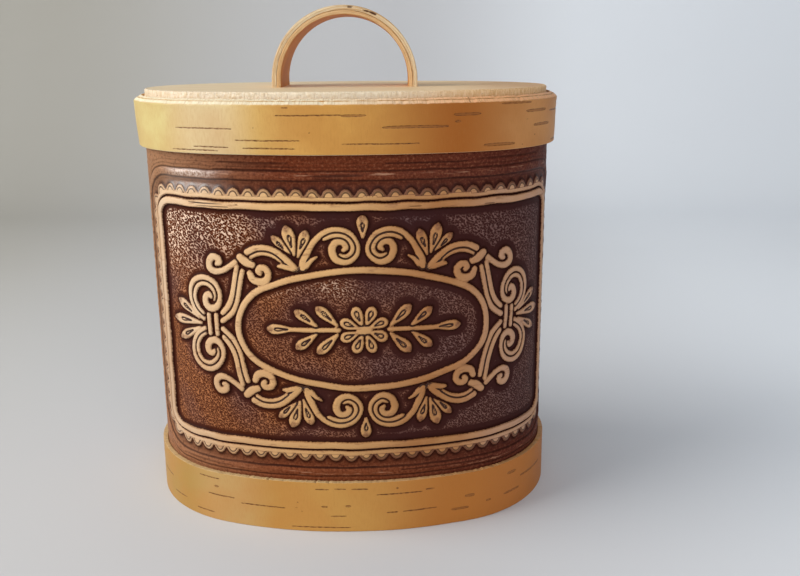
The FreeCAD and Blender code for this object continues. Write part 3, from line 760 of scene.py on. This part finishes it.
    cuts = m.times(lines, tan_share)
    colour = m.mix(cuts, m.mix(tan_share, ground, tan), (52, 21, 10))
    crisp = m.minus(m.span(raised, -0.15, 0.3, 0, 0.3), m.times(cuts, 0.25))
    crisp = m.plus(crisp, m.times(m.plus(dots, glints), 0.07))
    crisp = m.minus(crisp, m.times(folds, 0.12))
    normal = m.bump(m.times(m.plus(fine, mottle), 0.08), 0.6)
    polish = m.times(m.span(sheen, 4, 18, 1.0, 0.1),
                     m.times(m.span(border, 4, 5), m.span(border, 11.6, 12.4, 1, 0)), upper)
    gloss = m.larger(m.times(tan_share, 0.25), m.larger(polish, 0.05))
    m.put(m.surface["Specular IOR Level"], gloss)
    return m.finish(colour, m.bump(crisp, 0.8, normal), m.span(polish, 0.1, 1.0, 0.48, 0.3))


def band_bark(name, left, middle, right, end, pale=(242, 230, 200), warm=(252, 190, 138)):
    """Smooth yellow bark with pores and rough cut edges, pale left and warm right.

    The first four tones follow one another along the front; the back has the second. Their change
    along the front, and the cut edge's from pale to warm, is partly the bark's own tone and partly
    painted light from the window at the left; the pale patch round girth -41 is a painted highlight
    of that window.
    """
    m = Shader(name, 0.48, 0.22)
    girth, height, pore, edge = m.facts("girth", "height", "pore", "edge")
    place = m.place(girth, height)
    cloud = m.noise(place, 0.05, 3)
    fine = m.noise(place, 1.2, 4, 0.6, (1.6, 0.35, 1))
    grain = m.noise(place, 2.2, 3, 0.6)
    # Tones along the front, partly painted light; the pale patch round girth -41 is a painted
    # highlight.
    colour = m.coats(
        left, (girth, -64, 0, middle), (m.away(girth, -41), 3, 19, 0.35, 0, pale),
        (girth, 0, 36, right), (girth, 36, 60, end), (m.away(girth), 90, 130, middle),
        (cloud, 0.35, 0.65, 0, 0.3, right), (fine, 0.42, 0.75, 0, 0.2, (176, 118, 56)),
        (grain, 0.6, 0.78, 0, 0.2, (160, 100, 44)), (pore, -0.1, 0.2, 0, 0.6, (136, 84, 40)))
    broken = m.span(m.noise(place, 1, stretch=(0.9, 2.5, 1)), 0.38, 0.6, 0.3, 0.95)
    colour = m.mix(m.times(m.span(m.away(pore), 0.03, 0.17, 1, 0), broken), colour, (92, 50, 20))
    rough = m.noise(place, 1.7, 4, 0.7)
    specks = m.noise(place, 0.8, 3, 0.7, (0.8, 1.6, 1))
    flecks = m.noise(place, 2, 3, 0.6, (1.3, 0.4, 1))
    cut = m.coats(
        pale, (girth, -15, 50, warm), (rough, 0.45, 0.65, 0, 0.4, (206, 170, 120)),
        (flecks, 0.54, 0.66, 0, 0.55, (160, 124, 80)), (specks, 0.66, 0.72, 0, 0.7, (110, 72, 42)))
    colour = m.coats(colour, (edge, 0.25, 0.8, cut))
    height = m.plus(m.times(fine, 0.08), m.times(rough, edge, 0.3))
    return m.finish(colour, m.bump(height, 0.8))


def board_wood(name, pale, dark, ring_pitch):
    """Light wood with growth rings along X."""
    m = Shader(name, 0.5)
    place = m.object_place()
    warp = m.noise(place, 1, 3, stretch=(0.02, 0.12, 0.12))
    turn = m.plus(m.times(m.axis(place, 1), 2 * math.pi / ring_pitch), m.times(warp, 16.0))
    fibre = m.noise(place, 1, 4, 0.65, (0.1, 2.2, 2.2))
    colour = m.coats(
        pale, (m.math("SINE", turn), -1, 1, 0.1, 0.5, dark), (fibre, 0.45, 0.75, 0, 0.4, dark))
    return m.finish(colour, m.bump(m.times(fibre, 0.12), 0.5))


def rough_board():
    """Board of the lid: smooth pale face, rough speckled edge."""
    m = Shader("lid_board", 0.55)
    place = m.object_place()
    cloud = m.noise(place, 1, 3, stretch=(0.03, 0.12, 0.12))
    fibre = m.noise(place, 1, 4, 0.6, (0.08, 1.3, 1.3))
    run, (edge,) = m.axis(place, 0), m.facts("edge")
    face = m.coats(
        (238, 218, 182), (run, -40, 60, (252, 216, 164)), (run, 30, 62, (208, 156, 100)),
        (cloud, 0.3, 0.7, 0, 0.5, (226, 200, 156)), (fibre, 0.45, 0.75, 0, 0.25, (200, 164, 114)))
    rough = m.noise(place, 1, 3, 0.6, (1.6, 1.6, 0.5))
    side = m.coats(
        (232, 217, 194), (rough, 0.35, 0.65, (214, 190, 152)),
        (m.away(run), 10, 55, 0.5, 0, (252, 236, 206)))
    side = m.mix(m.span(run, 5, 50), side, (1.18, 0.92, 0.64, 1), "MULTIPLY")
    specks = m.noise(place, 0.7, 3, 0.7, (0.8, 0.8, 2.2))
    side = m.coats(side, (specks, 0.66, 0.72, 0, 0.7, (128, 90, 56)))
    colour = m.coats(face, (edge, 0.15, 0.6, side))
    return m.finish(colour, m.bump(m.times(rough, edge, 0.4), 0.9))


def strip_bark(name, tone, depth, edge_tone):
    """Bent bark strip with a smooth face and thin layers on its edge."""
    m = Shader(name, 0.5, 0.12)
    along, across, layer, edge, pore = m.facts("along", "across", "layer", "edge", "pore")
    place = m.place(along, across, layer)
    cloud = m.noise(place, 0.07, 3)
    fibre = m.noise(place, 1, 4, 0.6, (0.06, 1, 1))
    leaves = m.noise(place, 1, 3, 0.6, (0.05, 0.2, 5))
    side = m.coats(
        edge_tone, (leaves, 0.42, 0.64, (204, 158, 104)),
        (leaves, 0.64, 0.74, 0, 0.8, (140, 92, 50)))
    colour = m.coats(
        tone, (cloud, 0.3, 0.7, depth), (fibre, 0.45, 0.75, 0, 0.35, (172, 118, 66)),
        (edge, 0.2, 0.7, side), (pore, -0.3, 0.1, (84, 48, 26)))
    height = m.plus(m.times(leaves, m.times(edge, 0.3)), m.times(fibre, 0.08))
    return m.finish(colour, m.bump(height, 0.8))


def inner_bark():
    """Smooth inner face of the bark, on the wall tube."""
    m = Shader("inner_bark", 0.48)
    place = m.object_place()
    cloud = m.noise(place, 0.06, 3)
    line = m.noise(place, 1, 3, 0.6, (0.14, 0.14, 1.8))
    colour = m.coats(
        (214, 168, 104), (cloud, 0.3, 0.7, (190, 138, 78)),
        (line, 0.6, 0.72, 0, 0.6, (128, 80, 42)))
    return m.finish(colour, m.bump(m.times(line, 0.15), 0.6))


# ---- pieces of the box ----

PANEL_STEP = 0.46
PLAIN_STEP = 2.2
BAND_STEP = 0.7
BOARD_STEP = 0.6
BAND_ROW = 0.22
ARRIS = 0.3
SEAM_SIDE = np.array([*SEAM_EDGE, 0.5, 1.2])  # columns beside a seam
PANEL_ENDS = (-78.0, 92.0)  # girth and height of the finely meshed part of the wrap
ROW_ENDS = (18.4, 125.2)
SHOULDER = (-0.4, 0.25)  # distance from a stroke's edge at its foot and on its top
CROWN = (0.12, 0.7)  # height and reach of a stroke's rounding
CUT_DEPTH = 0.22
TROUGH_RISE = 0.38  # of the dark trough above the ground
FOLD_DEPTH = 0.14
PORE_DEPTH = (0.12, 0.1)  # in the wrap and in the bands
WAVE_SIZE = 0.06
FOOT_MIDDLE = 9.0  # edges are rougher above this height
BAND_MIDDLE = 130.0
BOARD_REACH = -20.0  # inner end of a board's rim grid


def stain_facts(s, z):
    """How far the ground's stain is wiped off, together with painted light from the window at the
    left, and how pale its crests are: a painted highlight of that window, partly wear.
    """
    zone = 0.2 * sample(bark_field(22, 24.0), s, z)
    top = step_up(z, 92, 104)
    spot = np.exp(-((s + 4) / 22) ** 2 - ((z - 84) / 3.5) ** 2)  # worn spot, partly a painted highlight, in the upper oval
    wipe_and_light = (0.8 + zone - 0.4 * top * step_up(s, -40, -10)) * (0.15 + step_up(-s, -60, 60))
    # pale: a painted highlight of the window at the upper left, partly wear
    pale = ((1.15 + zone) * step_up(-s, 10, 58) * step_up(z, 76, 92)
            * (0.4 + 0.6 * step_up(z, 90, 103)) + (0.3 + zone) * spot)
    return {"wipe_and_light": np.clip(wipe_and_light, 0, 1), "pale": np.clip(pale, 0, 1)}


def wrap_relief(s, z, facts, rail):
    """Offset of the wrap's outer face, from the distances of the embossing."""
    border, pore = facts["border"], facts["pore"]
    raised = np.maximum(np.maximum(facts["rise_a"], facts["rise_b"]), facts["scallop"])
    shoulder = step_up(raised, *SHOULDER)
    crown, reach = CROWN
    crown = crown * (1 - np.exp(-np.maximum(raised, 0) / reach))
    inside = -RELIEF_DEPTH + (RELIEF_DEPTH - 0.1) * shoulder + crown
    inside += (RAIL_PROUD + 0.05) * step_up(rail, -0.3, 0.35)
    inside -= CUT_DEPTH * step_up(facts["cut"], -0.25, 0.15) * step_up(raised, 0, 0.3)
    inside += (TROUGH_RISE * step_up(border, SCALLOP_BASE, SCALLOP_BASE + 1)
               * step_up(-border, -TROUGH[1], -SCALLOP_BASE - 1.2) * (1 - shoulder))
    middle, half, rise = PIPE
    sheet = rise * (1 - np.minimum(np.abs(border - middle) / half, 1) ** 2)
    sheet -= sum(FOLD_DEPTH * depth * np.exp(-((border - middle) / width) ** 2 / 2)
                 for middle, width, depth in PIPE_LINES)
    sheet -= PORE_DEPTH[0] * step_up(pore, -0.3, 0.1)
    outside = step_up(border, TROUGH[1] - 0.5, TROUGH[1] + 0.9)
    relief = inside * (1 - outside) + sheet * outside
    relief += 0.04 * sample(bark_field(23, 2.6, 2.0), s, z) * outside - 0.05
    return relief - SEAM_DEPTH * (1 - step_up(HALF_GIRTH - np.abs(s), *SEAM_EDGE))


def wrap_piece():
    """Outer bark sheet with the embossed panel, butted at the back."""
    s = np.hstack([
        SEAM_SIDE - HALF_GIRTH, np.arange(2 - HALF_GIRTH, PANEL_ENDS[0], PLAIN_STEP),
        np.arange(*PANEL_ENDS, PANEL_STEP),
        np.arange(PANEL_ENDS[1], HALF_GIRTH - 2, PLAIN_STEP), HALF_GIRTH - SEAM_SIDE[::-1]])
    z = np.hstack([
        np.arange(WRAP_LOW, ROW_ENDS[0] - 1, PLAIN_STEP), np.arange(*ROW_ENDS, PANEL_STEP),
        np.arange(ROW_ENDS[1] + 1, WRAP_HIGH - 1, PLAIN_STEP), WRAP_HIGH])
    s_grid, z_grid = np.meshgrid(s, z, indexing="ij")
    facts = embossing(s_grid, z_grid)
    facts.update(stain_facts(s_grid, z_grid))
    rail = facts.pop("rail")
    pores = pore_distance(s_grid, z_grid, WRAP_MARKS + scattered_marks(
        31, 70, WRAP_LOW, WRAP_HIGH, (0.12, 0.35), (5, 30), WRAP_UNSEEN))
    facts["pore"] = np.where(facts["border"] > TROUGH[1], pores, FAR)
    facts["cut"] = np.maximum(facts["cut"], pore_distance(s_grid, z_grid, RAIL_SCARS))
    facts.update({"girth": s_grid, "height": z_grid})

    relief = wrap_relief(s_grid, z_grid, facts, rail)
    back = (len(s), 2)
    offsets = np.hstack([relief, np.full(back, -WRAP_THICKNESS)])
    heights = np.hstack([z_grid, np.broadcast_to([WRAP_HIGH, WRAP_LOW], back)])
    facts = {name: np.hstack([value, value[:, [-1, 0]]]) for name, value in facts.items()}
    dress("wrap_sheet", ring_points(s, offsets, heights), RING, facts, stained_bark(),
          "box", "embossed_wrap")


def strip_columns(step, seam):
    """Girth positions once round from a seam, closer together beside it."""
    middle = np.arange(seam - GIRTH + 2, seam - 2, step)
    return np.hstack([seam - GIRTH + SEAM_SIDE, middle, seam - SEAM_SIDE[::-1]])


def band_facts(s, z, cut, marks):
    """Grids and attributes of a bark band, its waves and pores, its rough edge."""
    s_grid, z_grid = np.meshgrid(s, z, indexing="ij")
    pore = pore_distance(s_grid, z_grid, marks)
    wave = WAVE_SIZE * (sample(BAND_WAVE, s_grid, z_grid) - 2.5)
    wave -= PORE_DEPTH[1] * step_up(pore, -0.2, 0.15)
    facts = {"pore": pore, "edge": cut, "girth": s_grid, "height": z_grid}
    return s_grid, z_grid, facts, wave, sample(EDGE_ROUGH, s_grid, z_grid) * cut


def foot_piece():
    """Band round the foot; its outer end laps over the other at the back."""
    s = strip_columns(BAND_STEP, HALF_GIRTH + FOOT_LAP_HALF)
    section = 0.05, FOOT_THICKNESS, FOOT_LOW, FOOT_HIGH, ARRIS, BAND_ROW
    offset, z, cut = rounded_section(*section)
    marks = FOOT_MARKS + scattered_marks(32, 34, 1.0, 17.0, (0.12, 0.27), (3, 16), BAND_UNSEEN)
    s_grid, z_grid, facts, wave, rough = band_facts(s, z, cut, marks)
    behind = s_grid % GIRTH - HALF_GIRTH
    lap = step_up(behind, -FOOT_LAP_HALF - FOOT_LAP_RAMP, -FOOT_LAP_HALF)
    lap *= behind < FOOT_LAP_HALF - 0.02
    outer = step_up(offset, 0.5, FOOT_THICKNESS - ARRIS)
    offsets = offset + outer * (wave + FOOT_LAP_RISE * lap)
    heights = (z_grid + 0.12 * (rough - np.abs(cut)) * (z > FOOT_MIDDLE)
               + 0.06 * np.abs(rough) * (z < FOOT_MIDDLE))
    # Foot band tones: the darker left tone is painted shade, and the others change partly as
    # painted light.
    bark = band_bark("foot_band_bark", (165, 130, 66), (200, 149, 76), (186, 117, 50),
                     (191, 118, 54), (206, 176, 128), (206, 150, 96))
    points = ring_points(s, offsets, heights)
    dress("foot_band_strip", points, RING, facts, bark, "box", "foot_band")


def lid_strip(name, node, seam, step, section, walls, slant, marks, proud, bark):
    """Strip of the lid's band, butted at the back, with a slanting upper edge.

    Only the proud one flares, sways and shows its seam.
    """
    s = strip_columns(step, seam)
    offset, z, cut = rounded_section(*section)
    s_grid, z_grid, facts, wave, rough = band_facts(s, z, cut, marks)
    inner, outer = walls
    frayed = np.abs(rough) * (z > BAND_MIDDLE)
    share = (offset - inner) / (outer - inner)
    below, close = RIM_HEIGHT
    rise = slant[1] + (slant[0] - slant[1]) * np.clip(share, 0, 1)
    rise *= step_up(z, BAND_HIGH - below, BAND_HIGH - close)
    flare = BAND_FLARE * share * (z - BAND_LOW) / (BAND_HIGH - BAND_LOW)
    gap = (SEAM_DEPTH + 0.2) * (1 - step_up(np.abs(wrapped(s_grid - seam)), *SEAM_EDGE))
    uneven = step_up(offset, inner + 0.2, outer - ARRIS) * (wave - gap - 0.12 * frayed)
    points = ring_points(s, offset + proud * (flare + uneven), z_grid - 0.2 * frayed + rise)
    dress(name, points, RING, facts, bark, "lid", node)


def board_piece(name, node, offset, low, high, bevel, rough_size, material):
    """Oval board with a bevelled, rough edge; flat caps close it above and below."""
    s = np.arange(-HALF_GIRTH, HALF_GIRTH, BOARD_STEP)
    side = np.linspace(low, high - bevel, max(3, round((high - bevel - low) / 0.3)))
    # Steps of the section: inset, height, share of cut edge.
    steps = [(BOARD_REACH, low, 0.0), (-1.0, low, 0.0), (0.0, low, 1.0)]
    steps += [(0.0, height, 1.0) for height in side[1:]]
    steps += [(-bevel * share, high - bevel * (1 - share), 1.0) for share in (0.4, 0.7)]
    steps += [(-bevel, high, 0.8), (-bevel - 0.5, high, 0.3), (-bevel - 1.2, high, 0.0),
              (BOARD_REACH, high, 0.0)]
    inset, height, edge = np.array(steps).T
    s_grid, z_grid = np.meshgrid(s, height, indexing="ij")
    rough = sample(EDGE_ROUGH, s_grid, z_grid) + 0.6 * sample(BAND_WAVE, s_grid, z_grid)
    offsets = offset + inset - rough_size * np.abs(rough) * edge
    dress(name, ring_points(s, offsets, z_grid), (True, False), {"edge": edge}, material,
          "lid", node)


def strip_piece(name, node, outer_half, thickness, material, marks):
    """One strip of the handle, bent over the arch with straight legs."""
    crown = HANDLE_HIGH - HANDLE_HALF
    leg = crown - HANDLE_LOW
    arc = math.pi * outer_half
    along = np.arange(0, 2 * leg + arc, BOARD_STEP)
    angle = np.clip((along - leg) / outer_half, 0, math.pi)
    lift = np.where(along < leg, along - leg, np.where(along > leg + arc, leg + arc - along, 0))
    half = HANDLE_WIDTH / 2
    layer, across, edge = rounded_section(-thickness, 0, -half, half, 0.18, 0.5)
    along_grid, layer = np.meshgrid(along, layer, indexing="ij")
    ragged = 0.12 * sample(EDGE_ROUGH, along_grid * 0.5, 90 + layer * 2)
    wander = 0.25 * sample(BAND_WAVE, along_grid, 60 + 0 * layer)
    radius = outer_half + layer
    x = -np.cos(angle)[:, None] * radius
    z = crown + np.sin(angle)[:, None] * radius + lift[:, None]
    y = across - np.sign(across) * (np.abs(ragged) + 0.25 + np.abs(wander) * 0.5)
    pore = pore_distance(along_grid, 3 * (layer + thickness), marks)
    facts = {"along": along_grid, "across": across, "layer": layer, "edge": edge,
             "pore": pore * edge + FAR * (1 - edge)}
    dress(name, np.stack([x, y, z], -1), (False, True), facts, material, "lid", node)


# ---- put the pieces together ----

wrap_piece()
foot_piece()
marks = LID_MARKS + scattered_marks(33, 34, BAND_LOW + 1, BAND_HIGH - 1, (0.12, 0.28), (4, 22),
                                    BAND_UNSEEN)
# Lid band tones, partly painted light: pale at the left towards the window, dark where the front
# turns away, and a lighter end that is a painted reflection of the pale cloth.
bark = band_bark("lid_band_bark", (204, 189, 128), (216, 161, 80), (170, 98, 32), (208, 147, 88))
lid_strip("lid_band_strip", "lid_band", HALF_GIRTH - LID_SEAM_SHIFT, BAND_STEP,
          (LINER_OUTER, BAND_OUTER, BAND_LOW, BAND_HIGH, 0.35, BAND_ROW),
          (LINER_OUTER, BAND_OUTER), RIM_SLANT[:2], marks, 1, bark)
bark = band_bark("liner_bark", (212, 168, 106), (200, 148, 86), (188, 134, 74), (188, 134, 74))
lid_strip("lid_band_inner_strip", "lid_band_liner", HALF_GIRTH + LID_SEAM_SHIFT, 1.0,
          (LINER_INNER, LINER_OUTER - 0.02, BAND_LOW + 0.1, BAND_HIGH - 0.05, 0.2, 0.8),
          (LINER_INNER, LINER_OUTER), RIM_SLANT[1:], [], 0, bark)
board = rough_board()
board_piece("lid_rim_board", "lid_under_board", LINER_INNER - 0.02, BOARD_LOW, BOARD_JOINT,
            0.9, 0.06, board)
board_piece("lid_top_plate", "lid_top_board", TOP_INSET, BOARD_JOINT, LID_TOP, 0.4, 0.1, board)
strip_piece("handle_outer_bark", "handle_outer_strip", HANDLE_HALF, OUTER_STRIP,
            strip_bark("outer_strip_bark", (226, 188, 130), (212, 166, 106), (230, 210, 174)),
            HANDLE_SPECKS)
strip_piece("handle_inner_bark", "handle_inner_strip",
            HANDLE_HALF - OUTER_STRIP, INNER_STRIP,
            strip_bark("inner_strip_bark", (222, 146, 44), (206, 128, 34), (226, 188, 140)), [])

for node, material in (
        ("inner_wall", inner_bark()),
        ("bottom_board", board_wood("bottom_wood", (224, 196, 148), (196, 156, 104), 4.0)),
        ("handle_lock_peg", board_wood("peg_wood", (220, 190, 140), (190, 150, 98), 1.2))):
    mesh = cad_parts[node].data
    mesh.materials.clear()
    mesh.materials.append(material)

# ---- floor, light and camera ----

FLOOR_SIZE = 1.6
BACKDROP_DISTANCE = 0.55
SWEEP_RADIUS = 0.25
SWEEP_HEIGHT = 1.2
SWEEP_STEPS = 12
LAMP_TARGET = (0, 0, 0.07)
LAMPS = [  # name, place, size, power and colour
    ("window", (-0.84, -0.2, 0.5), 0.9, 10.5, (1.0, 0.97, 0.92)),
    ("fill", (0.15, -1.0, 0.5), 1.0, 4.0, (0.98, 0.98, 1.0)),
]
WORLD_LIGHT = 0.28  # strength of the world as the object's light
WORLD_SEEN = 0.62  # and behind the floor and backdrop
CAMERA_PLACE = (17.46, -324.88, 156.26)
CAMERA_TURN = (14.692, -0.101, -0.434)  # pitch, yaw and roll in degrees
CAMERA_LENS = 40.893

# Pale floor that sweeps up into a backdrop. Its lengths are in metres.
profile = [(-FLOOR_SIZE, 0.0), (BACKDROP_DISTANCE, 0.0)]
for k in range(1, SWEEP_STEPS + 1):
    angle = math.pi / 2 * k / SWEEP_STEPS
    reach = BACKDROP_DISTANCE + SWEEP_RADIUS * math.sin(angle)
    profile.append((reach, SWEEP_RADIUS * (1 - math.cos(angle))))
profile.append((BACKDROP_DISTANCE + SWEEP_RADIUS, SWEEP_HEIGHT))
corners = [(side * FLOOR_SIZE, y, z) for y, z in profile for side in (-1, 1)]
faces = [(2 * k, 2 * k + 1, 2 * k + 3, 2 * k + 2) for k in range(len(profile) - 1)]
mesh = bpy.data.meshes.new("floor")
mesh.from_pydata(corners, [], faces)
mesh.shade_smooth()
m = Shader("floor_cloth", 0.9, 0.2)
place = m.add("TexCoord", {}, "Object")
across, back = m.axis(place, 0), m.axis(place, 1)
# Floor tone: darker at the left and paler to the right.
colour = m.coats(
    (176, 174, 166), (across, -0.4, 0, (210, 212, 216)), (across, 0, 0.25, (236, 241, 247)))
colour = m.mix(m.times(m.noise(place, 4.0, 3.0), 0.2), colour, (200, 204, 210))
# Painted light: a glow seen only by the camera lifts the right and near floor, where the window
# lamp's shadow falls.
seen = m.add("LightPath", {}, "Is Camera Ray")
right, near = m.span(across, 0.0, 0.3, 0, 0.2), m.span(back, 0.0, 0.4, 1, 0.6)
glow = m.times(seen, right, near)
m.put(m.surface["Emission Color"], rgb(235, 245, 255))
m.put(m.surface["Emission Strength"], glow)
mesh.materials.append(m.finish(colour))
floor = in_scene("floor", mesh)

for name, place, size, power, colour in LAMPS:
    light = bpy.data.lights.new(name, "AREA")
    light.shape = "DISK"
    light.size = size
    light.energy = power
    light.color = colour
    lamp = in_scene(name, light)
    lamp.location = place
    lamp.rotation_euler = (Vector(LAMP_TARGET) - Vector(place)).to_track_quat("-Z", "Y").to_euler()

data = bpy.data.cameras.new("camera")
data.lens = CAMERA_LENS
data.sensor_width = 36.0
data.clip_start = 0.01
eye = in_scene("camera", data)
eye.location = Vector(CAMERA_PLACE) * MM
pitch, yaw, roll = CAMERA_TURN
turn = Euler((math.radians(90 - pitch), 0, math.radians(yaw))).to_matrix()
eye.rotation_euler = (turn @ Euler((0, 0, math.radians(roll))).to_matrix()).to_euler()
bpy.context.scene.camera = eye

world = bpy.data.worlds.new("studio")
bpy.context.scene.world = world
world.use_nodes = True
nodes, links = world.node_tree.nodes, world.node_tree.links
background = nodes["Background"]
background.inputs["Color"].default_value = (0.97, 0.98, 1.0, 1)
strength = nodes.new("ShaderNodeMapRange")
strength.inputs["To Min"].default_value = WORLD_LIGHT
strength.inputs["To Max"].default_value = WORLD_SEEN
links.new(nodes.new("ShaderNodeLightPath").outputs["Is Camera Ray"], strength.inputs["Value"])
links.new(strength.outputs["Result"], background.inputs["Strength"])
bpy.context.scene.view_settings.view_transform = "Standard"
